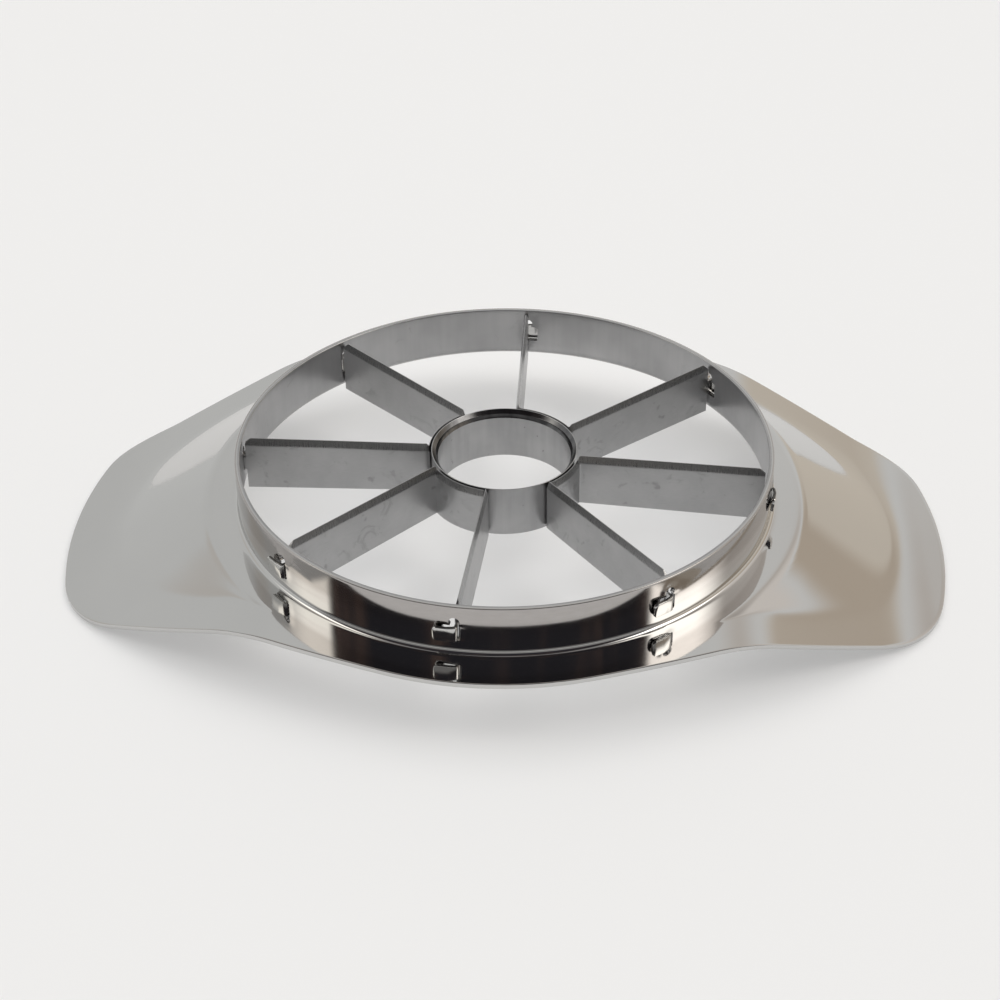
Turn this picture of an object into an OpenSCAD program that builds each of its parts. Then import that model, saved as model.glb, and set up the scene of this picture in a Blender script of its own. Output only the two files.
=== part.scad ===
// Apple slicer and corer: a pressed steel ring with two wing handles, a corer
// tube at its centre and four bent strips that make its eight blades.
// The cutting edges point up, and the part stands on its wing tips.

/* [Cutting ring] */
// Inner diameter of the collar, the widest apple that passes
ring_bore_d = 90; // [80:1:100]
// Height of the collar above the top of the flange
collar_h = 8.9; // [8.5:0.1:12]
// Thickness of the pressed sheet
sheet = 0.9; // [0.7:0.1:1.2]
// Radius of the hollow between collar and flange
foot_r = 1.5; // [0.8:0.1:2]
// Width of the flange outside the collar, front and back
flange_w = 7.1; // [6:0.1:12]

/* [Wings] */
// Reach of each wing, from the collar's outside to the tip
wing_reach = 30.5; // [27:0.1:36]
// Fall of each wing, from the flange down to the tip
wing_drop = 10.4; // [9:0.1:14]
// Steepest slope of the wing's S bend, in degrees
wing_slope = 20.5; // [18:0.5:26]
// Radius of the two long bends of the S
wing_bend_r = 30; // [16:1:32]
// Length of the level stretch at the tip
tip_level = 3; // [2:0.1:5]
// Radius of the side edges, seen from above
side_r = 300; // [250:10:400]
// Bearing at which a side edge leaves the round flange, in degrees
side_bearing = 72; // [68:1:76]
// Radius of the tip edge, seen from above
tip_r = 78; // [70:2:120]
// Radius of the wing's corners, seen from above
corner_r = 18.5; // [14:0.5:20]

/* [Skirt] */
// Level width between the collar and the skirt
skirt_step = 5.5; // [4.5:0.1:6.5]
// Slope of the conical skirt, in degrees
skirt_slope = 31; // [28:1:34]
// Radius of the bend where the skirt starts
skirt_bend_r = 2; // [1.5:0.1:3]

/* [Blades] */
// Height of each strip
blade_h = 10; // [9:0.1:11]
// Thickness of each strip
blade_t = 0.8; // [0.6:0.1:1]
// Height of the ground bevel along the cutting edge
bevel_h = 1.35; // [1:0.05:2]
// Width left at the cutting edge
edge_w = 0.1; // [0.05:0.01:0.2]
// Size of the clipped corner at the outer end of each cutting edge
clip = 1; // [0.5:0.1:1.5]
// Depth of the bridge's edge below the blades' edges, where the strip is bent
bridge_drop = 0.3; // [0.2:0.05:0.6]
// Gap between a blade's end and the collar's inside
end_gap = 0.3; // [0.15:0.05:0.6]

/* [Tabs and windows] */
// Height of the tab that passes through the collar
tab_h = 2.8; // [2.4:0.1:3.4]
// Length of the tab that lies folded on the outside
tab_l = 4.2; // [3.5:0.1:5]
// Depth of the notches above and below the tab's neck, where it folds
fold_notch = 0.15; // [0.1:0.05:0.4]
// Depth of the tab's top below the rim
tab_drop = 3.6; // [3.2:0.1:4]
// Gap between a tab and what it passes or lies on
tab_gap = 0.05; // [0.03:0.01:0.1]
// Play of the tab in its window, above and below
window_play = 0.2; // [0.1:0.05:0.3]
// Width of the window on the side the tab folds to
window_fold_side = 1.4; // [1.2:0.1:2]
// Width of the window on its open side
window_open_side = 1.9; // [1.6:0.1:2.4]
// Radius of the hump over the tab's neck
hump_r = 0.9; // [0.8:0.1:1.2]
// Height of the hump's middle above the window
hump_rise = 0.6; // [0.4:0.1:0.7]
// Distance of the hump's middle from the neck's, towards the open side
hump_side = 0.3; // [0:0.1:0.6]

/* [Corer tube] */
// Outer diameter of the tube
tube_od = 25; // [20:0.5:28]
// Wall of the tube
tube_wall = 1.1; // [0.8:0.1:1.4]
// Depth of the tube's foot below the strips' feet
tube_foot = 0.3; // [0:0.1:1]
// Height of the tube's edge above the rim
tube_proud = 0.3; // [0:0.1:1]
// Height of the bevel inside the tube's edge
tube_bevel_h = 1.3; // [1:0.1:2]
// Gap between the tube and the strips wrapped round it
wrap_gap = 0.02; // [0.01:0.01:0.05]

/* [Hidden] */
$fn = 72;
bend_steps = 8;
steel = "gainsboro";
blade_steel = "darkgray";
tube_steel = "silver";

// Each strip's two blades: bearing where the blade leaves the tube and
// where it meets the collar, turning from +X towards +Y, as assembled
PAIR_RIGHT_BACK = [[31, 37.5], [82, 87.5]];
PAIR_LEFT_BACK = [[125, 134], [180.5, 180.5]];
PAIR_LEFT_FRONT = [[210.5, 222.5], [259.5, 263.5]];
PAIR_RIGHT_FRONT = [[307, 307.5], [348, 352]];
PAIRS = [PAIR_RIGHT_BACK, PAIR_LEFT_BACK, PAIR_LEFT_FRONT, PAIR_RIGHT_FRONT];

// Levels, from the table under the wing tips upwards
tip_z = sheet;
flange_z = tip_z + wing_drop;
rim_z = flange_z + collar_h;
tab_z = rim_z - tab_drop - tab_h;
under_z = -1;

// Radii of the ring and reach of the part
ring_r = ring_bore_d / 2;
collar_r = ring_r + sheet;
flange_r = collar_r + flange_w;
tip_x = collar_r + wing_reach;
beyond = 2 * tip_x;

// S bend of the wing, in side view
level_x = tip_x - tip_level;
bend_fall = 2 * wing_bend_r * (1 - cos(wing_slope));
slope_run = (wing_drop - bend_fall) / tan(wing_slope);
bend_x = level_x - slope_run - 2 * wing_bend_r * sin(wing_slope);

// Strip and tube
tube_r = tube_od / 2;
wrap_r = tube_r + wrap_gap;
blade_root_r = wrap_r + blade_t / 2;
fold_r = collar_r + tab_gap;
bend_turn = blade_t / blade_root_r * 180 / PI;

function polar(r, bearing) = [r * cos(bearing), r * sin(bearing)];
function bearing_of(v) = atan2(v[1], v[0]);
function arc(centre, r, from, to, steps) =
    [for (i = [0 : steps]) centre + polar(r, from + (to - from) * i / steps)];
// Where the circles of radius ra round a and rb round b cross, on the left of a to b
function crossing(a, ra, b, rb) =
    let (d = norm(b - a), u = (b - a) / d, along = (ra * ra - rb * rb + d * d) / (2 * d))
    a + along * u + sqrt(ra * ra - along * along) * [-u[1], u[0]];

// Quarter of the outline seen from above, from the flange's back to the tip's middle
side_centre = polar(flange_r - side_r, side_bearing);
tip_centre = [tip_x - tip_r, 0];
corner_centre = crossing(tip_centre, tip_r - corner_r, side_centre, side_r - corner_r);
side_end = bearing_of(corner_centre - side_centre);
tip_end = bearing_of(corner_centre - tip_centre);
quarter = concat(
    arc([0, 0], flange_r, 90, side_bearing, 8),
    arc(side_centre, side_r, side_bearing, side_end, 6),
    arc(corner_centre, corner_r, side_end, tip_end, 12),
    arc(tip_centre, tip_r, tip_end, 0, 6));

function mirrored(points, sx, sy) = [for (p = points) [p[0] * sx, p[1] * sy]];
function backwards(points) = [for (i = [len(points) - 1 : -1 : 0]) points[i]];

module outline() {
    polygon(concat(quarter, backwards(mirrored(quarter, 1, -1)),
                   mirrored(quarter, -1, -1), backwards(mirrored(quarter, -1, 1))));
}

// Side view of all that lies under the wing's skin, deep millimetres below its top
module s_bend_profile(deep) {
    outer_r = wing_bend_r - deep;
    inner_r = wing_bend_r + deep;
    bend_centre = [bend_x, flange_z - wing_bend_r];
    level_centre = [level_x, tip_z + wing_bend_r];
    floor_z = under_z - deep;
    half = concat(
        arc(bend_centre, outer_r, 90, 90 - wing_slope, bend_steps),
        arc(level_centre, inner_r, -90 - wing_slope, -90, bend_steps),
        [[beyond, tip_z - deep], [beyond, floor_z]]);
    polygon(concat(half, backwards(mirrored(half, -1, 1))));
}

module under_wings(deep) {
    rotate([90, 0, 0])
        linear_extrude(2 * beyond, center = true) s_bend_profile(deep);
}

// Half section of all that lies inside the collar and under the skirt
module ring_section(deep) {
    bend_at = collar_r + skirt_step - skirt_bend_r * tan(skirt_slope / 2);
    bend_centre = [bend_at, flange_z - skirt_bend_r];
    skirt_bend = arc(bend_centre, skirt_bend_r - deep, 90 - skirt_slope, 90, 4);
    skirt_top = skirt_bend[0];
    floor_z = under_z - deep;
    skirt_foot = skirt_top[0] + (skirt_top[1] - floor_z) / tan(skirt_slope);
    foot_centre = [collar_r + foot_r, flange_z + foot_r];
    top_z = rim_z + deep;
    polygon(concat(
        [[0, floor_z], [skirt_foot, floor_z]],
        skirt_bend,
        arc(foot_centre, foot_r + deep, -90, -180, 5),
        [[collar_r - deep, top_z], [0, top_z]]));
}

module under_ring(deep) {
    rotate_extrude() ring_section(deep);
}

// Window for one tab: a slot with a rounded hump over the tab's neck
module window(bearing) {
    slot_h = tab_h + 2 * window_play;
    slot_w = window_fold_side + window_open_side;
    rotate([0, 0, bearing])
        translate([ring_r - foot_r, -window_fold_side, tab_z - window_play]) {
            cube([sheet + 2 * foot_r, slot_w, slot_h]);
            translate([0, window_fold_side + hump_side, slot_h + hump_rise])
                rotate([0, 90, 0]) cylinder(r = hump_r, h = sheet + 2 * foot_r);
        }
}

module pressed_body() {
    color(steel)
    difference() {
        intersection() {
            difference() {
                union() {
                    under_wings(0);
                    under_ring(0);
                }
                under_wings(sheet);
                under_ring(sheet);
            }
            translate([0, 0, under_z])
                linear_extrude(rim_z + beyond) outline();
        }
        for (pair = PAIRS, blade = pair) window(blade[1]);
    }
}

// Cross-section of a strip: square at the foot, ground from both faces at the edge
module strip_section(h) {
    polygon([[-blade_t / 2, 0], [blade_t / 2, 0], [blade_t / 2, h - bevel_h], [edge_w / 2, h],
             [-edge_w / 2, h], [-blade_t / 2, h - bevel_h]]);
}

// One blade, its clipped corner, its neck through the window and its folded tab
module blade(root_bearing, rim_bearing) {
    root = polar(blade_root_r, root_bearing);
    rim = polar(ring_r - end_gap, rim_bearing);
    fold = polar(fold_r + blade_t / 2, rim_bearing);
    run = rim - root;
    turn_by = tab_l / fold_r * 180 / PI;
    past = blade_t / fold_r * 180 / PI;
    translate([root[0], root[1], rim_z - blade_h])
        rotate([0, 0, bearing_of(run)])
            difference() {
                rotate([90, 0, 90]) linear_extrude(norm(run)) strip_section(blade_h);
                translate([norm(run), 0, blade_h])
                    rotate([0, 45, 0]) cube([clip * sqrt(2), 2 * blade_t, clip * sqrt(2)], center = true);
            }
    translate([rim[0], rim[1], tab_z + fold_notch])
        rotate([0, 0, bearing_of(fold - rim)])
            translate([-blade_t, -blade_t / 2, 0])
                cube([norm(fold - rim) + blade_t, blade_t, tab_h - 2 * fold_notch]);
    rotate([0, 0, rim_bearing - turn_by])
        translate([0, 0, tab_z])
            rotate_extrude(angle = turn_by + past) translate([fold_r, 0]) square([blade_t, tab_h]);
}

// A strip bent into two blades with a bridge that hugs the tube between them
module blade_pair(pair) {
    from = pair[0][0];
    to = pair[1][0];
    color(blade_steel) {
        rotate([0, 0, from - bend_turn])
            translate([0, 0, rim_z - blade_h])
                rotate_extrude(angle = to - from + 2 * bend_turn)
                    translate([blade_root_r, 0]) strip_section(blade_h - bridge_drop);
        for (blade = pair) blade(blade[0], blade[1]);
    }
}

// Tube ground to a cutting edge from the inside
module corer_tube() {
    bore_r = tube_r - tube_wall;
    top_z = rim_z + tube_proud;
    foot_z = rim_z - blade_h - tube_foot;
    color(tube_steel)
        rotate_extrude()
            polygon([[bore_r, foot_z], [tube_r, foot_z], [tube_r, top_z],
                     [tube_r - edge_w, top_z], [bore_r, top_z - tube_bevel_h]]);
}

pressed_body();
corer_tube();
blade_pair(PAIR_RIGHT_BACK);  // blade_pair_right_back
blade_pair(PAIR_LEFT_BACK);  // blade_pair_left_back
blade_pair(PAIR_LEFT_FRONT);  // blade_pair_left_front
blade_pair(PAIR_RIGHT_FRONT);  // blade_pair_right_front
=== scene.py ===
import math
import bpy
import numpy as np
from mathutils import Matrix, Vector


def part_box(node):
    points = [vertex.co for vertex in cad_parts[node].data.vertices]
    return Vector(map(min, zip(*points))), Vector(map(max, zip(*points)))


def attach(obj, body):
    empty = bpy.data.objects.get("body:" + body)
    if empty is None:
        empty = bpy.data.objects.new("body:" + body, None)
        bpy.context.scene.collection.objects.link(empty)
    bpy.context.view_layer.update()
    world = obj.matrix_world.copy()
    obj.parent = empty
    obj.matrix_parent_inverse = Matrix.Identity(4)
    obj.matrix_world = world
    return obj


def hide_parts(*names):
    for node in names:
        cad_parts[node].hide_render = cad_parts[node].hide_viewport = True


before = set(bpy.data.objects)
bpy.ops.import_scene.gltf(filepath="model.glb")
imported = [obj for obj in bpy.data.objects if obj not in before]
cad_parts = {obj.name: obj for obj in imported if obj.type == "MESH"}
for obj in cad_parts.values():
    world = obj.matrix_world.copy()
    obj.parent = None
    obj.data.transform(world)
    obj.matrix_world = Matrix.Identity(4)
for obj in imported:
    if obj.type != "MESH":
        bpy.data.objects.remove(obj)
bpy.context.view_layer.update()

mm = 0.001
bodyHigh = np.array(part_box("pressed_body")[1])
tipX = bodyHigh[0]
rimZ = bodyHigh[2]  # the collar's free edge, level with the cutting edges
print("frame loaded, rim at %.1f mm" % (rimZ / mm))


def rad(degrees):  # degrees times pi over 180
    return math.radians(degrees)


def polar(r, bearing):  # r times (cos, sin) of a bearing in degrees
    return np.array([r * math.cos(rad(bearing)), r * math.sin(rad(bearing))])


def arcPoints(centre, r, start, end, count):  # centre plus r times (cos, sin) of an evenly stepped angle
    a = np.radians(np.linspace(start, end, count))
    return np.stack([centre[0] + r * np.cos(a), centre[1] + r * np.sin(a)], 1)


def gridFaces(rows, cols, closeRows, closeCols):  # quads between neighbours of a rows by cols grid
    i = np.arange(rows if closeRows else rows - 1)[:, None]
    j = np.arange(cols if closeCols else cols - 1)[None, :]
    i2, j2 = (i + 1) % rows, (j + 1) % cols
    quads = np.stack(np.broadcast_arrays(i * cols + j, i * cols + j2, i2 * cols + j2, i2 * cols + j), -1)
    return quads.reshape(-1, 4)


def meshFrom(name, points, faces, uvs=None):  # one mesh object, each point's UV copied to the corners that use it
    mesh = bpy.data.meshes.new(name)
    mesh.from_pydata(points.reshape(-1, 3).tolist(), [], faces)
    mesh.validate()
    if uvs is not None:
        layer = mesh.uv_layers.new(name="Length")
        corner = np.empty(len(mesh.loops), dtype=np.int32)
        mesh.loops.foreach_get("vertex_index", corner)
        layer.data.foreach_set("uv", uvs.reshape(-1, 2)[corner].astype(np.float32).ravel())
    piece = bpy.data.objects.new(name, mesh)
    bpy.context.scene.collection.objects.link(piece)
    return piece


def smooth(piece, angle):  # smooth shading, sharp only where faces meet at more than angle
    mesh = piece.data
    mesh.polygons.foreach_set("use_smooth", np.ones(len(mesh.polygons), dtype=bool))
    mesh.set_sharp_from_angle(angle=rad(angle))


sameGap = 0.0015 * mm  # points nearer than this are one point
leastWidth = 0.003 * mm  # faces narrower than this are dropped


# splits faces of many sides, merges points that coincide, drops faces of no area and turns the rest outwards
def outwards(piece):
    bpy.context.view_layer.objects.active = piece
    bpy.ops.object.select_all(action="DESELECT")
    piece.select_set(True)
    bpy.ops.object.mode_set(mode="EDIT")
    bpy.ops.mesh.select_all(action="DESELECT")
    bpy.ops.mesh.select_face_by_sides(number=4, type="GREATER")
    bpy.ops.mesh.quads_convert_to_tris()
    bpy.ops.mesh.select_all(action="SELECT")
    bpy.ops.mesh.remove_doubles(threshold=sameGap)
    bpy.ops.mesh.dissolve_degenerate(threshold=leastWidth)
    bpy.ops.mesh.normals_make_consistent(inside=False)
    bpy.ops.object.mode_set(mode="OBJECT")


ring = {
    "boreR": 45.0 * mm,
    "sheet": 0.9 * mm,
    "collarH": 8.9 * mm,
    "footR": 0.9 * mm,
    "flangeW": 7.1 * mm,
    "skirtStep": 5.5 * mm,
    "skirtSlope": 31.0,  # degrees
    "skirtBend": 2.6 * mm,
    "creaseBlend": 0.5 * mm,  # how softly the skirt runs into the wing
    "blendDepth": 1.5 * mm,  # how far below the flange that softness is reached
    "edgeRound": 0.14 * mm,
    "bearings": 720,
    "wallRows": 34,
    "footRows": 7,
    "wingRows": 48,
    "underRows": 14,
    "innerFootRows": 6,
    "innerWallRows": 8,
    "sharp": 30,  # degrees between faces that leave an edge sharp
}

wing = {
    "drop": 10.4 * mm,
    "slope": 20.5,  # degrees
    "bendR": 30.0 * mm,
    "tipLevel": 3.0 * mm,
    "sideR": 300.0 * mm,
    "sideBearing": 72.0,
    "tipR": 78.0 * mm,
    "cornerR": 18.5 * mm,
    "flangeSteps": 60,
    "arcSteps": 200,
}

collarR = ring["boreR"] + ring["sheet"]
flangeZ = rimZ - ring["collarH"]
flangeR = collarR + ring["flangeW"]


def circlesCross(a, ra, b, rb):  # where two circles cross, on the left of the way from a to b
    d = np.linalg.norm(b - a)
    u = (b - a) / d
    along = (ra * ra - rb * rb + d * d) / (2 * d)
    return a + along * u + math.sqrt(ra * ra - along * along) * np.array([-u[1], u[0]])


def outlineReach(bearings):  # distance from the axis to the edge of the sheet: flange, side, corner and tip arcs
    sideCentre = polar(flangeR - wing["sideR"], wing["sideBearing"])
    tipCentre = np.array([tipX - wing["tipR"], 0.0])
    corner = circlesCross(tipCentre, wing["tipR"] - wing["cornerR"], sideCentre, wing["sideR"] - wing["cornerR"])
    sideEnd = math.degrees(math.atan2(*(corner - sideCentre)[::-1]))
    tipEnd = math.degrees(math.atan2(*(corner - tipCentre)[::-1]))
    steps = wing["arcSteps"]
    quarter = np.concatenate([
        arcPoints((0, 0), flangeR, 90, wing["sideBearing"], wing["flangeSteps"]),
        arcPoints(sideCentre, wing["sideR"], wing["sideBearing"], sideEnd, steps),
        arcPoints(corner, wing["cornerR"], sideEnd, tipEnd, steps),
        arcPoints(tipCentre, wing["tipR"], tipEnd, 0, steps)])
    a = np.arctan2(quarter[:, 1], quarter[:, 0])[::-1]
    r = np.hypot(quarter[:, 0], quarter[:, 1])[::-1]
    folded = np.abs(np.angle(np.exp(1j * bearings)))  # every bearing brought into the first quarter
    folded = np.minimum(folded, np.pi - folded)
    return np.interp(folded, a, r)


def wingLevel(x):  # height of the S bend: level, arc down, straight slope, arc back to level
    x = np.abs(x)
    s, big = rad(wing["slope"]), wing["bendR"]
    fall = 2 * big * (1 - math.cos(s))
    run = (wing["drop"] - fall) / math.tan(s)
    levelX = tipX - wing["tipLevel"]
    bendX = levelX - run - 2 * big * math.sin(s)
    first = flangeZ - big + np.sqrt(np.maximum(big * big - np.clip(x - bendX, 0, big * math.sin(s)) ** 2, 0))
    straight = -np.clip(x - bendX - big * math.sin(s), 0, run) * math.tan(s)
    last = np.clip(levelX - x, 0, big * math.sin(s))
    second = -big * (1 - math.cos(s)) + big - np.sqrt(big * big - last ** 2)
    return first + straight + second


def skirtLevel(r):  # height of the skirt: level, small arc, then a straight cone
    s, small = rad(ring["skirtSlope"]), ring["skirtBend"]
    start = collarR + ring["skirtStep"] - small * math.tan(s / 2)
    inArc = np.clip(r - start, 0, small * math.sin(s))
    past = np.maximum(r - start - small * math.sin(s), 0)
    return flangeZ - small + np.sqrt(small * small - inArc ** 2) - past * math.tan(s)


def skinLevel(x, y):  # the higher of wing and skirt, blended where they cross below the flange
    a, b = wingLevel(x), skirtLevel(np.hypot(x, y))
    top = np.maximum(a, b)
    blend = ring["creaseBlend"] * (1 - np.exp(-((flangeZ - top) / ring["blendDepth"]) ** 2))
    return (a + b + np.sqrt((a - b) ** 2 + blend ** 2)) / 2


def skinNormal(x, y):  # unit normal of the skin, from central differences of its height
    d = 0.02 * mm
    dx = (skinLevel(x + d, y) - skinLevel(x - d, y)) / (2 * d)
    dy = (skinLevel(x, y + d) - skinLevel(x, y - d)) / (2 * d)
    n = np.stack([-dx, -dy, np.ones_like(dx)], -1)
    return n / np.linalg.norm(n, axis=-1, keepdims=True)


# bearing where each blade leaves the tube, and where it meets the collar
pairs = {
    "RightBack": [(31.0, 37.5), (82.0, 87.5)],
    "LeftBack": [(125.0, 134.0), (180.5, 180.5)],
    "LeftFront": [(210.5, 222.5), (259.5, 263.5)],
    "RightFront": [(307.0, 307.5), (348.0, 352.0)],
}
pairNodes = {
    "RightBack": "blade_pair_right_back",
    "LeftBack": "blade_pair_left_back",
    "LeftFront": "blade_pair_left_front",
    "RightFront": "blade_pair_right_front",
}
tabBearings = [blade[1] for pair in pairs.values() for blade in pair]

tab = {
    "height": 2.8 * mm,
    "length": 3.8 * mm,
    "drop": 3.6 * mm,
    "gap": 0.08 * mm,
    "lift": 0.1 * mm,  # how far the flap's free end stands off the collar
    "liftPower": 1.5,
    "buried": 0.6 * mm,  # how far the tab starts inside its blade
    "bend": 0.3 * mm,
    "station": 0.12 * mm,
    "flapSteps": 24,
    "thick": 0.56 * mm,
    "cornerRound": 0.14 * mm,
    "topRound": 0.3 * mm,
    "endRound": 0.8 * mm,
    "endLength": 0.12 * mm,  # the last bit of the flap is thinner
    "endThin": 0.75,
    "lean": 0.09,  # outward lean of the flap, millimetres per millimetre of height
    "leanFrom": 0.3 * mm,
    "leanOver": 1.2 * mm,
}
tabZ = rimZ - tab["drop"] - tab["height"]

window = {
    "play": 0.06 * mm,
    "foldSide": 2.2 * mm,
    "openSide": 0.68 * mm,
    "cornerR": 0.3 * mm,
    "humpR": 0.9 * mm,
    "humpRise": 0.6 * mm,
    "humpSide": -0.3 * mm,
    "bulge": 0.1 * mm,
    "neckUp": 1.5 * mm,
    "neckStretch": 1.5,  # the swell round the fold is this much taller than wide
    "neckSpread": 1.4 * mm,
    "humpSpread": 1.55 * mm,
    "cutFrom": -2.0 * mm,  # reach of the cutter, from the bore outwards
    "cutTo": 2.5 * mm,
    "cornerSteps": 6,
    "humpSteps": 20,
}


# outward swell round each fold and hump: the larger of two flat-topped bells, e to the minus (distance / spread)^4
def windowBulge(bearings, z):
    swell = np.zeros(np.broadcast(bearings, z).shape)
    for tabBearing in tabBearings:
        along = np.angle(np.exp(1j * (bearings - rad(tabBearing)))) * collarR
        neckUp = (z - tabZ - window["neckUp"]) / window["neckStretch"]
        neck = np.hypot(along, neckUp) / window["neckSpread"]
        humpUp = z - tabZ - tab["height"] - window["humpRise"]
        hump = np.hypot(along - window["humpSide"], humpUp) / window["humpSpread"]
        swell = np.maximum(swell, np.maximum(np.exp(-neck ** 4), np.exp(-hump ** 4)))
    return window["bulge"] * swell


def bodyShell():  # both skins of the sheet on one grid: rows run from the rim to the wing's edge and back
    t = np.linspace(0, 2 * np.pi, ring["bearings"], endpoint=False)
    reach = outlineReach(t)
    sheet, foot, soft = ring["sheet"], ring["footR"], ring["edgeRound"]
    footEnd, under = collarR + foot, foot + sheet
    rimCorner, edgeCorner = np.radians([25, 50, 75]), np.radians([30, 60, 90])
    rows = []

    def turned(r, z, swells=True):  # a level circle, swelled round the windows
        z = np.full_like(t, z)
        r = r + (windowBulge(t, z) if swells else 0)
        rows.append(np.stack([r * np.cos(t), r * np.sin(t), z], -1))

    def onSkin(r, deep):  # the skin at radius r, moved inwards along its normal
        x, y = r * np.cos(t), r * np.sin(t)
        p = np.stack([x, y, skinLevel(x, y)], -1)
        rows.append(p - deep * skinNormal(x, y))

    for a in rimCorner:  # outer corner of the rim
        turned(collarR - soft + soft * math.sin(a), rimZ - soft + soft * math.cos(a), False)
    for z in np.linspace(rimZ - soft, flangeZ + foot, ring["wallRows"]):
        turned(collarR, z)
    for a in np.radians(np.linspace(0, 90, ring["footRows"] + 1)[1:]):
        turned(collarR + foot - foot * math.cos(a), flangeZ + foot - foot * math.sin(a))
    for s in np.linspace(0, 1, ring["wingRows"] + 1)[1:]:
        onSkin(footEnd + s * (reach - soft - footEnd), 0)
    for a in edgeCorner:  # round the sheet's edge to the underside
        onSkin(reach - soft + soft * math.sin(a), soft * (1 - math.cos(a)))
    for a in edgeCorner[::-1]:
        onSkin(reach - soft + soft * math.sin(a), sheet - soft * (1 - math.cos(a)))
    for s in np.linspace(1, 0, ring["underRows"] + 1):
        onSkin(footEnd + s * (reach - soft - footEnd), sheet)
    for a in np.radians(np.linspace(90, 0, ring["innerFootRows"] + 1)[1:]):
        turned(collarR + foot - under * math.cos(a), flangeZ + foot - under * math.sin(a))
    for z in np.linspace(flangeZ + foot, rimZ - soft, ring["innerWallRows"] + 1)[1:]:
        turned(ring["boreR"], z)
    for a in rimCorner[::-1]:  # inner corner of the rim
        turned(ring["boreR"] + soft - soft * math.sin(a), rimZ - soft + soft * math.cos(a), False)
    grid = np.stack(rows)
    return meshFrom("pressedBody", grid, gridFaces(len(rows), len(t), True, True).tolist())


def windowOutline():  # one window unrolled: a rounded slot with a hump, a circle cut by the slot's top line
    low, high = tabZ - window["play"], tabZ + tab["height"] + window["play"]
    left, right = -window["foldSide"], window["openSide"]
    soft, hump = window["cornerR"], (window["humpSide"], high + window["humpRise"])
    dip = math.degrees(math.asin(window["humpRise"] / window["humpR"]))
    steps = window["cornerSteps"]
    return np.concatenate([
        arcPoints((right - soft, low + soft), soft, -90, 0, steps),
        arcPoints((right - soft, high - soft), soft, 0, 90, steps),
        arcPoints(hump, window["humpR"], -dip, 180 + dip, window["humpSteps"]),
        arcPoints((left + soft, high - soft), soft, 90, 180, steps),
        arcPoints((left + soft, low + soft), soft, 180, 270, steps)])


def windowCutter():  # every window's outline carried straight out through the wall
    flat = windowOutline()
    points, faces = [], []
    n = len(flat)
    j = np.arange(n)
    for k, bearing in enumerate(tabBearings):
        a = rad(bearing) + flat[:, 0] / collarR
        for depth in (window["cutFrom"], window["cutTo"]):
            r = ring["boreR"] + depth
            points.append(np.stack([r * np.cos(a), r * np.sin(a), flat[:, 1]], -1))
        start = 2 * n * k
        sides = np.stack([start + j, start + (j + 1) % n, start + n + (j + 1) % n, start + n + j], -1)
        faces += sides.tolist() + [(start + j[::-1]).tolist(), (start + n + j).tolist()]
    cutter = meshFrom("windowCutter", np.concatenate(points), faces)
    outwards(cutter)
    return cutter


def cutWindows(body):  # the sheet less the cutter
    cutter = windowCutter()
    cut = body.modifiers.new("windows", "BOOLEAN")
    cut.operation, cut.solver, cut.object = "DIFFERENCE", "EXACT", cutter
    bpy.context.view_layer.objects.active = body
    bpy.ops.object.modifier_apply(modifier=cut.name)
    bpy.data.objects.remove(cutter)


strip = {
    "height": 10.0 * mm,
    "thick": 0.8 * mm,
    "bevelH": 1.35 * mm,
    "edgeW": 0.1 * mm,
    "footSoft": 0.08 * mm,
    "clip": 1.0 * mm,
    "endGap": 0.3 * mm,
    "sag": 0.55 * mm,  # how far a cutting edge falls from the collar to the tube
    "bridgeDrop": 0.65 * mm,
    "bridgeRamp": 0.9 * mm,  # length over which the edge steps down to the bridge
    "bend": 0.45 * mm,  # spread of the rounding at each bend
    "weldUp": 5.2 * mm,
    "weldR": 1.1 * mm,
    "weldDeep": 0.1 * mm,
    "weldCore": 0.55,  # the dimple's spread and the raised ring's, as shares of the radius
    "weldRing": 0.22,
    "weldRise": 0.55,  # height of the ring, as a share of the dimple's depth
    "sideRows": 30,
    "bevelRows": 5,
    "arcSteps": 80,
    "station": 0.15 * mm,
    "coarse": 6,  # every how many stations are kept where the blade is straight
    "bridgeFine": 2.0 * mm,
    "endFine": 1.5 * mm,
    "sharp": 32,
}
uvAlong, uvRound = 10.0, 0.2  # UV per metre along a strip, and once round its section


def roundedPath(corners, step, spread):  # points along joined stretches, with the corners softened by a bell curve
    line = np.concatenate(corners)
    gaps = np.r_[0, np.cumsum(np.linalg.norm(np.diff(line, axis=0), axis=1))]
    keep = np.r_[True, np.diff(gaps) > 1e-9]
    s = np.arange(0, gaps[-1], step)
    dense = np.stack([np.interp(s, gaps[keep], line[keep, k]) for k in (0, 1)], 1)
    reach = int(3 * spread / step)
    bell = np.exp(-0.5 * (np.arange(-reach, reach + 1) * step / spread) ** 2)
    bell /= bell.sum()
    first, last = dense[1] - dense[0], dense[-1] - dense[-2]
    before = dense[0] - first * np.arange(reach, 0, -1)[:, None]
    after = dense[-1] + last * np.arange(1, reach + 1)[:, None]
    padded = np.concatenate([before, dense, after])
    return np.stack([np.convolve(padded[:, k], bell, "valid") for k in (0, 1)], 1), s


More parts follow.
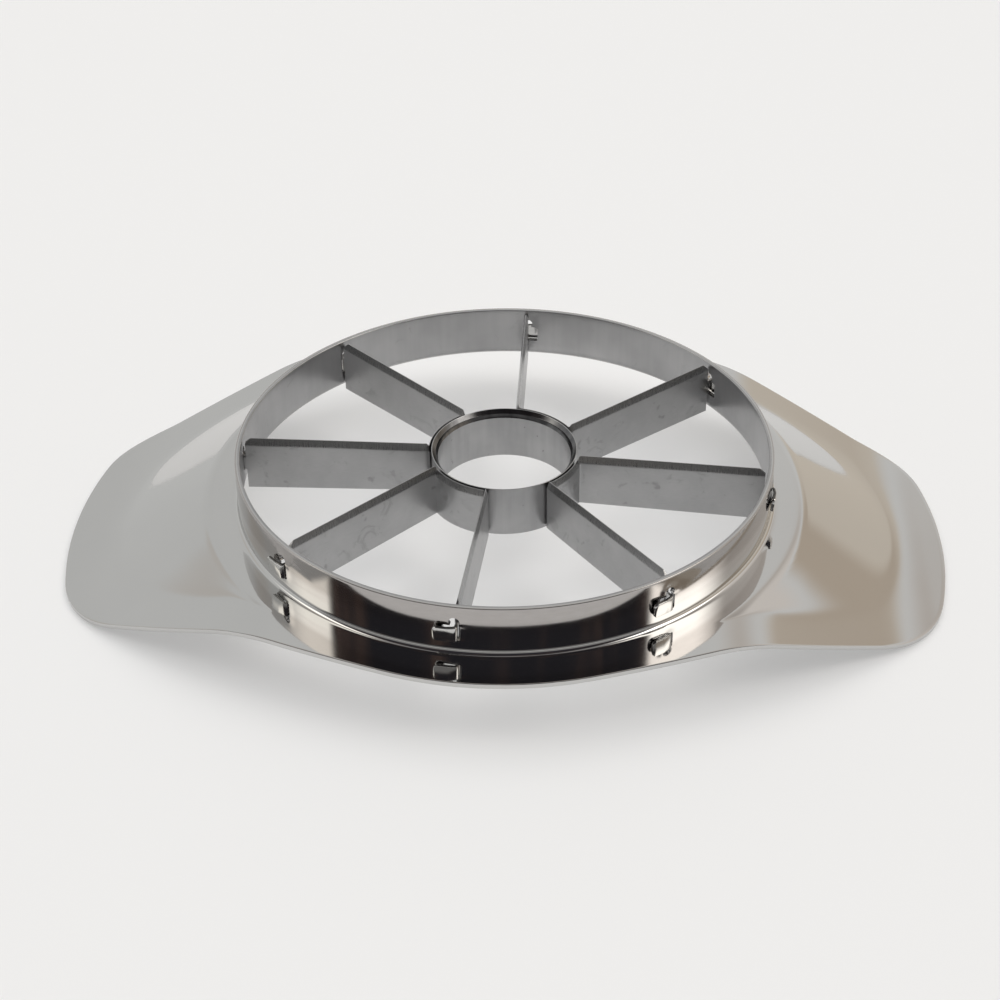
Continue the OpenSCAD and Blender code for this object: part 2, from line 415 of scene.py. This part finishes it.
def carried(path, s, section):  # section(stations) gives rows of (across, up), carried along the path
    tangent = np.gradient(path, axis=0)
    tangent /= np.linalg.norm(tangent, axis=1, keepdims=True)
    side = np.stack([-tangent[:, 1], tangent[:, 0]], 1)
    across, up = section(s)
    points = np.empty(across.shape + (3,))
    points[..., :2] = path[:, None, :] + across[..., None] * side[:, None, :]
    points[..., 2] = up
    rows, n = across.shape
    loop = np.linspace(0, 1, n)
    uvs = np.stack(np.broadcast_arrays(s[:, None] * uvAlong, loop[None, :] * uvRound), -1)
    faces = gridFaces(rows, n, False, True).tolist()
    faces += [list(range(n))[::-1], list(range((rows - 1) * n, rows * n))]
    return points.reshape(-1, 3), faces, uvs.reshape(-1, 2)


def stripSection(total, bridge, weldAt):  # flat sides, a soft foot and a bevel ground from both faces to the edge
    h, w, bev, rows = strip["height"], strip["thick"] / 2, strip["bevelH"], strip["bevelRows"]
    edge, soft, ramp = strip["edgeW"] / 2, strip["footSoft"], strip["bridgeRamp"]
    side = np.linspace(soft, h - bev, strip["sideRows"])
    up = np.concatenate([[0], side, np.linspace(h - bev, h, rows + 1)[1:]])
    ground = w - (w - edge) * np.linspace(0, 1, rows + 1)[1:]
    wide = np.concatenate([[w - soft], np.full(len(side), w), ground])

    # the outline scaled to the edge's own height, cut at 45 degrees at the clipped ends and dimpled at the welds
    def section(s):
        fallen = np.minimum(s / bridge[0], (total - s) / (total - bridge[1]))
        low = np.clip((s - bridge[0]) / ramp + 0.5, 0, 1) * np.clip((bridge[1] - s) / ramp + 0.5, 0, 1)
        top = h - strip["sag"] * np.clip(fallen, 0, 1) - strip["bridgeDrop"] * low ** 2 * (3 - 2 * low)
        clipped = np.minimum(top, h - strip["clip"] + np.minimum(s, total - s))
        height = np.minimum(up[None, :] * top[:, None] / h, clipped[:, None])
        ledge = np.interp(height * h / top[:, None], up, wide)
        dent = np.zeros_like(height)
        for weld in weldAt:
            far = np.hypot(s[:, None] - weld[0], height - weld[1]) / strip["weldR"]
            dimple = np.exp(-(far / strip["weldCore"]) ** 4)
            raised = strip["weldRise"] * np.exp(-((far - 1) / strip["weldRing"]) ** 2)
            dent += strip["weldDeep"] * (dimple - raised)
        outer = -(ledge - dent)
        across = np.concatenate([outer[:, ::-1], ledge], 1)
        return across, rimZ - h + np.concatenate([height[:, ::-1], height], 1)

    return section


def bladeStrip(name, pair):  # blade, bridge round the tube and blade in one path, with both folded tabs
    rootR = tube["outerR"] + tube["wrapGap"] + strip["thick"] / 2
    endR = ring["boreR"] - strip["endGap"]
    (from0, rim0), (from1, rim1) = pair
    arc = arcPoints((0, 0), rootR, from0, from1, strip["arcSteps"])
    start, end = polar(endR, rim0), polar(endR, rim1)
    path, s = roundedPath([start[None], arc, end[None]], strip["station"], strip["bend"])
    first = np.linalg.norm(start - arc[0])
    bridge = (first, first + rad(from1 - from0) * rootR)
    third = (bridge[1] - bridge[0]) / 4
    welds = [(bridge[0] + third, strip["weldUp"]), (bridge[1] - third, strip["weldUp"])]
    nearBridge = (s > bridge[0] - strip["bridgeFine"]) & (s < bridge[1] + strip["bridgeFine"])
    nearEnd = (s < strip["endFine"]) | (s > s[-1] - strip["endFine"])
    keep = nearBridge | nearEnd | (np.arange(len(s)) % strip["coarse"] == 0)
    keep[[0, -1]] = True
    path, s = path[keep], s[keep]
    points, faces, uvs = carried(path, s, stripSection(s[-1], bridge, welds))
    for root, bearing in ((arc[0], rim0), (arc[-1], rim1)):
        more, moreFaces, moreUvs = foldedTab(root, bearing)
        faces += [[i + len(points) for i in f] for f in moreFaces]
        points, uvs = np.concatenate([points, more]), np.concatenate([uvs, moreUvs])
    piece = meshFrom(name, points, faces, uvs)
    outwards(piece)
    smooth(piece, strip["sharp"])
    return piece


def tabSection(s):  # a bar with soft corners, the upper outer one wider, its end rounded by a quarter circle
    h, w, soft, shed = tab["height"], tab["thick"] / 2, tab["cornerRound"], tab["topRound"]
    corner = np.radians([0, 30, 60, 90])
    lower = np.stack([w - soft + soft * np.sin(corner), soft - soft * np.cos(corner)], 1)
    upper = np.stack([w - soft + soft * np.cos(corner), h - soft + soft * np.sin(corner)], 1)
    outer = np.stack([w - shed + shed * np.cos(corner), h - shed + shed * np.sin(corner)], 1)
    loop = np.concatenate([lower, outer, upper[::-1] * [-1, 1], lower[::-1] * [-1, 1]])
    left = np.clip(tab["endRound"] - (s[-1] - s), 0, tab["endRound"])
    cut = tab["endRound"] - np.sqrt(tab["endRound"] ** 2 - left ** 2)
    up = tabZ + h / 2 + (loop[:, 1] - h / 2)[None, :] * (1 - cut / (h / 2))[:, None]
    thin = np.where(s[-1] - s < tab["endLength"], tab["endThin"], 1.0)[:, None]
    folded = np.clip((s - s[-1] + tab["length"] - tab["leanFrom"]) / tab["leanOver"], 0, 1)[:, None]
    return loop[:, 0][None, :] * thin + tab["lean"] * folded * (up - tabZ), up


def foldedTab(root, bearing):  # out through the window, round the fold and back along the collar
    layR = collarR + tab["gap"] + tab["thick"] / 2
    rimPoint = polar(ring["boreR"] - strip["endGap"], bearing)
    heading = (rimPoint - root) / np.linalg.norm(rimPoint - root)
    turn = tab["length"] / layR
    flap = arcPoints((0, 0), layR, bearing, bearing - math.degrees(turn), tab["flapSteps"])
    rise = np.linspace(0, 1, tab["flapSteps"])[:, None] ** tab["liftPower"]
    flap *= 1 + tab["lift"] / layR * rise
    inside = rimPoint - heading * tab["buried"]
    path, s = roundedPath([inside[None], flap], tab["station"], tab["bend"])
    return carried(path, s, tabSection)


tube = {
    "outerR": 12.5 * mm,
    "wall": 1.1 * mm,
    "length": 9.2 * mm,
    "proud": -1.1 * mm,  # the tube's edge sits below the blades' edges
    "bevelH": 1.3 * mm,
    "wrapGap": 0.02 * mm,
    "round": 0.12 * mm,
    "lip": [(0.03, 0.0), (0.14, 0.0), (0.2, 0.05), (0.62, 0.6), (0.7, 0.66), (0.74, 0.8)],  # mm inwards and down
    "wallRows": 14,
    "boreRows": 12,
    "bearings": 256,
    "sharp": 25,
}


def corerTube():  # a wall's profile turned round the axis, ground from the inside to an edge
    out, bore = tube["outerR"], tube["outerR"] - tube["wall"]
    top = rimZ + tube["proud"]
    foot, soft = top - tube["length"], tube["round"]
    nick = soft * 0.3
    lip = np.array([out, top]) - np.array(tube["lip"]) * mm
    outerUp = np.linspace(foot + soft, top - tube["lip"][0][0] * mm, tube["wallRows"])
    boreDown = np.linspace(top - tube["bevelH"], foot + soft, tube["boreRows"])
    profile = np.concatenate([
        [[out - nick, foot + nick]],
        np.stack([np.full(len(outerUp), out), outerUp], 1),
        lip,
        np.stack([np.full(len(boreDown), bore), boreDown], 1),
        [[bore + nick, foot + nick], [bore + soft, foot], [out - soft, foot]]])
    t = np.linspace(0, 2 * np.pi, tube["bearings"], endpoint=False)
    grid = np.stack([profile[:, :1] * np.cos(t), profile[:, :1] * np.sin(t),
                     np.broadcast_to(profile[:, 1:], (len(profile), len(t)))], -1)
    piece = meshFrom("corerTube", grid, gridFaces(len(profile), len(t), True, True).tolist())
    outwards(piece)
    smooth(piece, tube["sharp"])
    return piece


class Sig:  # a value in a shader: arithmetic on it adds the Math nodes
    def __init__(self, tree, socket):
        self.tree, self.socket = tree, socket

    def node(self, kind, settings=None, **values):  # a node with its settings, then its sockets: i0 is the first
        made = self.tree.nodes.new(kind)
        for key, value in (settings or {}).items():
            setattr(made, key, value)
        for key, value in values.items():
            slot = made.inputs[int(key[1:]) if key[1:].isdigit() else key]
            if isinstance(value, Sig):
                self.tree.links.new(value.socket, slot)
            else:
                slot.default_value = value
        return made

    def math(self, operation, *values):  # one Math node on the values
        inputs = {"i%d" % k: value for k, value in enumerate(values)}
        made = self.node("ShaderNodeMath", {"operation": operation}, **inputs)
        return Sig(self.tree, made.outputs[0])

    def __add__(self, other): return self.math("ADD", self, other)
    def __radd__(self, other): return self.math("ADD", other, self)
    def __sub__(self, other): return self.math("SUBTRACT", self, other)
    def __rsub__(self, other): return self.math("SUBTRACT", other, self)
    def __mul__(self, other): return self.math("MULTIPLY", self, other)
    def __rmul__(self, other): return self.math("MULTIPLY", other, self)
    def __truediv__(self, other): return self.math("DIVIDE", self, other)
    def sqrt(self): return self.math("SQRT", self)
    def abs(self): return self.math("ABSOLUTE", self)

    def step(self, low, high):  # 0 below low, 1 above high, smooth between
        settings = {"interpolation_type": "SMOOTHSTEP"}
        made = self.node("ShaderNodeMapRange", settings, i0=self, i1=low, i2=high, i3=0.0, i4=1.0)
        return Sig(self.tree, made.outputs[0])

    def mix(self, low, high):  # colour between low and high
        made = self.node("ShaderNodeMix", {"data_type": "RGBA"}, i0=self, i6=low, i7=high)
        return Sig(self.tree, made.outputs[2])

    def noise(self, scale, detail=3.0, roughness=0.55, distortion=0.0):  # cloudy values about 0.5 at this place
        made = self.node("ShaderNodeTexNoise", {"noise_dimensions": "3D"}, Vector=self, Scale=scale,
                         Detail=detail, Roughness=roughness, Distortion=distortion)
        return Sig(self.tree, made.outputs[0])

    def stretch(self, scale):  # coordinates multiplied axis by axis
        made = self.node("ShaderNodeVectorMath", {"operation": "MULTIPLY"}, i0=self, i1=scale)
        return Sig(self.tree, made.outputs[0])

    def parts(self):  # x, y and z of a vector
        made = self.node("ShaderNodeSeparateXYZ", None, i0=self)
        return [Sig(self.tree, out) for out in made.outputs]


def newMaterial(name):  # a metal, with the sockets for its place and its UV map
    material = bpy.data.materials.new(name)
    material.use_nodes = True
    tree = material.node_tree
    tree.nodes["Principled BSDF"].inputs["Metallic"].default_value = 1.0
    coords = tree.nodes.new("ShaderNodeTexCoord")
    return material, Sig(tree, coords.outputs["Object"]), Sig(tree, coords.outputs["UV"])


def finish(material, colour, rough, height, bump):  # colour, roughness and a bump of strength and depth bump
    tree = material.node_tree
    shader = tree.nodes["Principled BSDF"]
    relief = tree.nodes.new("ShaderNodeBump")
    relief.inputs["Strength"].default_value, relief.inputs["Distance"].default_value = bump
    tree.links.new(height.socket, relief.inputs["Height"])
    tree.links.new(colour.socket, shader.inputs["Base Color"])
    tree.links.new(rough.socket, shader.inputs["Roughness"])
    tree.links.new(relief.outputs[0], shader.inputs["Normal"])


# colours from darker to lighter, limits between which each zone begins or ends, and scales of the patterns
polish = {
    "mirror": ((0.555, 0.552, 0.545, 1), (0.585, 0.58, 0.57, 1)),
    # painted shade: the upper part of the collar's outer wall is painted darker than the mirror finish, and its
    # top band darker still, to dim the floor mirrored there; the drawn streaks in both are the steel's own
    "collar": ((0.50, 0.49, 0.485, 1), (0.58, 0.57, 0.56, 1)),
    "paintedShadeBand": ((0.39, 0.372, 0.36, 1), (0.47, 0.45, 0.437, 1)),
    # painted shade: the satin inner wall is painted darker than the polished outside though it is the same steel;
    # its streaks and stains are its own
    "satin": ((0.345, 0.344, 0.347, 1), (0.445, 0.443, 0.445, 1)),
    "stain": (0.19, 0.185, 0.18, 1),
    "satinUpTo": (45.3 * mm, 45.6 * mm),
    "satinAbove": (10.5 * mm, 11.5 * mm),
    "collarFrom": (45.5 * mm, 45.7 * mm),
    "collarTo": (46.5 * mm, 46.9 * mm),
    "collarAbove": (13.6 * mm, 14.4 * mm),
    "paintedShadeAbove": (15.4 * mm, 17.0 * mm),
    "ragged": 0.9 * mm,
    "streaks": (900.0, 900.0, 45.0),
    "scuffs": (260.0, 1900.0, 900.0),
    "drawn": (420.0, 420.0, 1500.0),
    "clouds": 70.0,
    "stains": 240.0,
    "ripple": 42.0,
    "mirrorRough": 0.045,
    "satinRough": 0.27,
    "bump": (0.22, 0.25 * mm),
}


def polishedSteel():  # mirror finish outside, satin on the collar's inner wall; painted shade darkens the inner wall and the upper outside of the collar
    material, place, _ = newMaterial("polishedSteel")
    x, y, z = place.parts()
    out = (x * x + y * y).sqrt()
    inner = (1 - out.step(*polish["satinUpTo"])) * z.step(*polish["satinAbove"])
    wall = out.step(*polish["collarFrom"]) * (1 - out.step(*polish["collarTo"])) * z.step(*polish["collarAbove"])
    streaks = place.stretch(polish["streaks"]).noise(1.0, 4.0)
    clouds = place.noise(polish["clouds"])
    scuffs = place.stretch(polish["scuffs"]).noise(1.0, 5.0, 0.7, 0.6)
    drawn = place.stretch(polish["drawn"]).noise(1.0, 4.0, 0.65)
    # painted shade: the darker top band of the outer wall, its lower edge made ragged by the drawn streaks
    upper = wall * (z + polish["ragged"] * drawn).step(*polish["paintedShadeAbove"])
    shine = clouds.mix(*polish["mirror"])
    # painted shade: the outer wall's darker upper part, then its darker top band, laid over the mirror colour
    shine = wall.mix(shine, drawn.mix(*polish["collar"]))
    shine = upper.mix(shine, drawn.mix(*polish["paintedShadeBand"]))
    stains = place.noise(polish["stains"], 5.0, 0.7, 1.5).step(0.6, 0.75)
    # painted shade: the inner wall's darker tone, with its own streaks and stains
    satin = (0.2 * streaks + 0.8 * clouds).step(0.3, 0.7).mix(*polish["satin"])
    satin = (0.3 * stains).mix(satin, polish["stain"])
    colour = inner.mix(shine, satin)
    bright = polish["mirrorRough"] + 0.05 * clouds * scuffs + (0.02 * wall + 0.035 * upper) * drawn
    rough = (1 - inner) * bright + inner * (polish["satinRough"] + 0.06 * streaks)
    ripple = place.noise(polish["ripple"], 2.0, 0.4)
    height = 0.9 * ripple + (0.004 + 0.016 * inner) * streaks
    finish(material, colour, rough, height, polish["bump"])
    return material


bladeLook = {
    # painted shade: the blade faces are painted darker than the steel's own tone, so what they mirror comes out
    # dimmer; grain, smears and spots are their own
    "paintedShadeFace": ((0.375, 0.375, 0.378, 1), (0.475, 0.475, 0.477, 1)),
    # painted shade: the ground bevel is painted darker than the faces; its grind marks are its own
    "ground": ((0.32, 0.32, 0.323, 1), (0.39, 0.39, 0.392, 1)),
    "smear": (0.20, 0.196, 0.196, 1),
    "spot": (0.15, 0.147, 0.145, 1),
    "tab": (0.57, 0.565, 0.555, 1),
    "sheared": (0.06, 0.058, 0.055, 1),
    "bevelFrom": (0.0851, 0.0867),  # UV from the section's middle: the top rows of each face
    "tabFrom": (45.1 * mm, 45.7 * mm),
    "shearedTop": (0.14 * mm, 0.04 * mm),  # below the tab's upper edge
    "grain": (60.0, 2500.0, 1.0),
    "grind": (2300.0, 40.0, 1.0),
    "clouds": 120.0,
    "spots": 330.0,
    "smears": 210.0,
    "faceRough": 0.27,
    "groundRough": 0.22,
    "tabRough": 0.07,
    "bump": (0.2, 0.06 * mm),
}


def bladeSteel():  # satin faces with grain along the strip, a rippled bevel at the edge, and polished tabs; faces and bevel are painted darker than the steel, as painted shade
    material, place, uv = newMaterial("bladeSteel")
    x, y, z = place.parts()
    bevel = (uv.parts()[1] - uvRound / 2).abs().step(*bladeLook["bevelFrom"])
    grain = uv.stretch(bladeLook["grain"]).noise(1.0, 4.0)
    grind = uv.stretch(bladeLook["grind"]).noise(1.0, 3.0, 0.7)
    clouds = place.noise(bladeLook["clouds"], 4.0, 0.6)
    spots = place.noise(bladeLook["spots"], 2.0).step(0.66, 0.74)
    smears = place.noise(bladeLook["smears"], 4.0, 0.65, 1.2).step(0.58, 0.68)
    # painted shade: the darker face tone, with its own grain, smears and spots
    paintedShadeFace = (0.45 * grain + 0.55 * clouds).step(0.3, 0.7).mix(*bladeLook["paintedShadeFace"])
    paintedShadeFace = (0.3 * smears).mix(paintedShadeFace, bladeLook["smear"])
    paintedShadeFace = (0.4 * spots).mix(paintedShadeFace, bladeLook["spot"])
    # painted shade: the darker ground bevel laid over the faces, with its own grind marks
    colour = bevel.mix(paintedShadeFace, grind.step(0.2, 0.8).mix(*bladeLook["ground"]))
    outside = (x * x + y * y).sqrt().step(*bladeLook["tabFrom"])
    colour = outside.mix(colour, bladeLook["tab"])
    below, above = bladeLook["shearedTop"]
    sheared = outside * z.step(tabZ + tab["height"] - below, tabZ + tab["height"] - above)
    colour = (0.85 * sheared).mix(colour, bladeLook["sheared"])
    faceRough = bladeLook["faceRough"] + 0.1 * clouds + 0.06 * grain
    rough = (1 - bevel) * faceRough + bevel * (bladeLook["groundRough"] + 0.12 * grind)
    rough = (1 - outside) * rough + outside * (bladeLook["tabRough"] + 0.08 * clouds) + 0.3 * sheared
    height = (1 - bevel) * 0.3 * grain + bevel * 0.3 * grind
    finish(material, colour, rough, height, bladeLook["bump"])
    return material


tubeLook = {
    # painted shade: the tube's faces are painted darker than the steel's own tone, so what they mirror comes out
    # dimmer; streaks and pits are their own
    "paintedShadeFace": ((0.345, 0.345, 0.35, 1), (0.445, 0.445, 0.447, 1)),
    # painted shade: the ground ring inside the cutting edge is painted near black; its streaks are its own
    "ground": ((0.10, 0.10, 0.104, 1), (0.17, 0.17, 0.172, 1)),
    "pit": (0.15, 0.145, 0.14, 1),
    "groundTo": (12.31 * mm, 12.35 * mm),
    "softEdge": 0.05 * mm,
    "streaks": (700.0, 700.0, 60.0),
    "clouds": 130.0,
    "pits": 900.0,
    "faceRough": 0.27,
    "groundRough": 0.16,
    "bump": (0.15, 0.05 * mm),
}


def tubeSteel():  # turned satin wall, with a ground ring inside the cutting edge; wall and ring are painted darker than the steel, the ring near black, as painted shade
    material, place, _ = newMaterial("tubeSteel")
    x, y, z = place.parts()
    out = (x * x + y * y).sqrt()
    bevelFoot, soft = rimZ + tube["proud"] - tube["bevelH"], tubeLook["softEdge"]
    bevel = z.step(bevelFoot - soft, bevelFoot + soft) * (1 - out.step(*tubeLook["groundTo"]))
    streaks = place.stretch(tubeLook["streaks"]).noise(1.0, 4.0)
    clouds = place.noise(tubeLook["clouds"])
    pits = place.noise(tubeLook["pits"], 2.0).step(0.70, 0.76)
    # painted shade: the darker face tone, with its own streaks and pits
    paintedShadeFace = (0.4 * streaks + 0.6 * clouds).step(0.3, 0.7).mix(*tubeLook["paintedShadeFace"])
    paintedShadeFace = (0.55 * pits).mix(paintedShadeFace, tubeLook["pit"])
    # painted shade: the near-black ground ring laid over the wall, with its own streaks
    colour = bevel.mix(paintedShadeFace, streaks.step(0.3, 0.7).mix(*tubeLook["ground"]))
    faceRough = tubeLook["faceRough"] + 0.1 * streaks
    rough = (1 - bevel) * faceRough + bevel * (tubeLook["groundRough"] + 0.1 * streaks)
    finish(material, colour, rough, streaks - 1.5 * pits, tubeLook["bump"])
    return material


studio = {
    "wall": ((0.73, 0.735, 0.725, 1), (0.84, 0.835, 0.82, 1)),  # left and right
    "wallSpread": (-0.35, 0.35),
    "darkTurn": 0.0886,  # turns the dark zone a little away from straight in front
    "patchWay": (-0.66, 0.54, 0.522),
    "haze": (0.5, 0.49, 0.48, 1),
    "hazeShare": 0.16,
    "smoke": ((0.033, 0.032, 0.038, 1), (0.12, 0.082, 0.07, 1)),
    "smokeShare": 0.97,
}

# what the steel mirrors, each zone laid over the ones before it: it begins between the limits of right, front,
# turnedFront, patch and above, ends between those of below, and changes from its left colour to its right one
# between those of spread
zones = {
    "tan": {"colour": (0.775, 0.695, 0.59, 1), "right": (0.30, 0.42), "below": (0.42, 0.53)},
    "brown": {"colour": (0.58, 0.485, 0.385, 1), "share": 0.85,
              "right": (0.40, 0.60), "above": (0.25, 0.33), "below": (0.43, 0.53)},
    "beige": {"colour": ((0.66, 0.605, 0.55, 1), (0.89, 0.83, 0.775, 1)), "spread": (0.25, 0.75),
              "right": (0.05, 0.35), "above": (0.50, 0.60)},
    "patch": {"colour": (0.62, 0.555, 0.485, 1), "share": 0.5, "patch": (0.98, 1.0)},
    "high": {"colour": (0.47, 0.43, 0.39, 1), "above": (0.69, 0.80)},
    "glow": {"colour": ((2.4, 2.3, 2.12, 1), (3.6, 3.45, 3.25, 1)), "spread": (-0.5, 0.5),
             "front": (-0.42, -0.02), "above": (0.45, 0.62)},
    "ceiling": {"colour": (0.30, 0.29, 0.285, 1), "above": (0.84, 0.93)},
    "low": {"colour": (0.30, 0.295, 0.29, 1), "turnedFront": (0.2, 0.5), "below": (0.5, 0.6)},
    "dark": {"colour": (0.020, 0.018, 0.021, 1),
             "turnedFront": (0.27, 0.36), "above": (0.46, 0.56), "below": (0.985, 0.999)},
}


def zoneMask(zone, ways):  # product of the smooth steps that the zone names, with 1 minus the step where it ends
    steps = [way.step(*zone[key]) for key, way in ways.items() if key in zone]
    if "below" in zone:
        steps.append(1 - ways["above"].step(*zone["below"]))
    return math.prod(steps)


# grey walls, warm on the right, dark above the camera and softly bright on either side of it: zones laid one over
# another by the height z of a direction and its shares to the front and to the right
def studioWorld():
    world = bpy.data.worlds.new("studio")
    bpy.context.scene.world = world
    world.use_nodes = True
    tree = world.node_tree
    coords = tree.nodes.new("ShaderNodeTexCoord")
    way = Sig(tree, coords.outputs["Generated"])
    x, y, z = way.parts()
    flat = (x * x + y * y + 1e-6).sqrt()
    front, right = -1.0 * y / flat, x / flat
    patchX, patchY, patchZ = studio["patchWay"]
    ways = {"right": right, "front": front, "turnedFront": front - studio["darkTurn"] * right, "above": z,
            "patch": patchX * x + patchY * y + patchZ * z}
    wall = right.step(*studio["wallSpread"]).mix(*studio["wall"])
    for zone in zones.values():
        mask, colour = zoneMask(zone, ways), zone["colour"]
        if "spread" in zone:
            colour = right.step(*zone["spread"]).mix(*colour)
        wall = (zone.get("share", 1.0) * mask).mix(wall, colour)
    haze = studio["hazeShare"] * way.noise(2.2, 2.0, 0.5)
    wall = haze.mix(wall, studio["haze"])
    smoke = way.noise(7.0, 4.0, 0.6).step(0.48, 0.72).mix(*studio["smoke"])
    wall = (studio["smokeShare"] * zoneMask(zones["dark"], ways)).mix(wall, smoke)
    tree.links.new(wall.socket, tree.nodes["Background"].inputs["Color"])


overhead = {
    "size": 2.0,
    "energy": 13.5,
    "colour": (0.97, 0.985, 1.0),
    "place": (0, 0.1, 1.2),
}


def softLight():  # a wide sheet of light overhead that lights the floor but isn't mirrored in the steel
    lamp = bpy.data.lights.new("softLight", "AREA")
    lamp.shape, lamp.size, lamp.energy = "SQUARE", overhead["size"], overhead["energy"]
    lamp.color = overhead["colour"]
    source = bpy.data.objects.new("softLight", lamp)
    source.location = overhead["place"]
    source.visible_glossy = False
    source.visible_camera = False
    bpy.context.scene.collection.objects.link(source)


paleFloor = {
    "half": 2.5,
    "colour": (0.5, 0.5, 0.5, 1),
    "shine": (1.0, 0.997, 0.99, 1),  # a faint light of its own keeps the floor pale in every view
    "shineStrength": 0.33,
    "rough": 0.9,
    "specular": 0.1,
}


def floor():  # a square round the origin at height 0
    half = paleFloor["half"]
    corners = np.array([[-half, -half, 0], [half, -half, 0], [half, half, 0], [-half, half, 0]])
    piece = meshFrom("floor", corners, [[0, 1, 2, 3]])
    material = bpy.data.materials.new("paleFloor")
    material.use_nodes = True
    inputs = material.node_tree.nodes["Principled BSDF"].inputs
    inputs["Base Color"].default_value = paleFloor["colour"]
    inputs["Emission Color"].default_value = paleFloor["shine"]
    inputs["Emission Strength"].default_value = paleFloor["shineStrength"]
    inputs["Roughness"].default_value = paleFloor["rough"]
    inputs["Specular IOR Level"].default_value = paleFloor["specular"]
    piece.data.materials.append(material)


camera = {
    "place": (0.01513, -0.28420, 0.20985),
    "look": (-0.04568, 0.81460, -0.57823),  # direction of the view, a unit vector
    "roll": -0.50,  # degrees
    "lens": 72.04,
    "sensor": 36.0,
}


def photoCamera():  # placed, turned to look along its direction, then rolled about it
    lens = bpy.data.cameras.new("camera")
    lens.lens, lens.sensor_width = camera["lens"], camera["sensor"]
    lens.clip_start, lens.clip_end = 0.01, 20.0
    eye = bpy.data.objects.new("camera", lens)
    turn = Vector(camera["look"]).to_track_quat("-Z", "Y").to_matrix().to_4x4()
    eye.matrix_world = Matrix.Translation(camera["place"]) @ turn @ Matrix.Rotation(rad(camera["roll"]), 4, "Z")
    bpy.context.scene.collection.objects.link(eye)
    bpy.context.scene.camera = eye


photoCamera()
studioWorld()
softLight()
floor()
bpy.context.scene.view_settings.view_transform = "Standard"
print("camera, studio and floor made")

body = bodyShell()
outwards(body)
cutWindows(body)
outwards(body)
smooth(body, ring["sharp"])
body.data.materials.append(polishedSteel())
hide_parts("pressed_body")
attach(body, "root")
print("pressed body made, %d faces" % len(body.data.polygons))

blades = bladeSteel()
for name, pair in pairs.items():
    piece = bladeStrip("bladePair" + name, pair)
    piece.data.materials.append(blades)
    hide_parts(pairNodes[name])
    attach(piece, "root")
print("four strips made")

corer = corerTube()
corer.data.materials.append(tubeSteel())
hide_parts("corer_tube")
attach(corer, "root")
print("corer tube made")
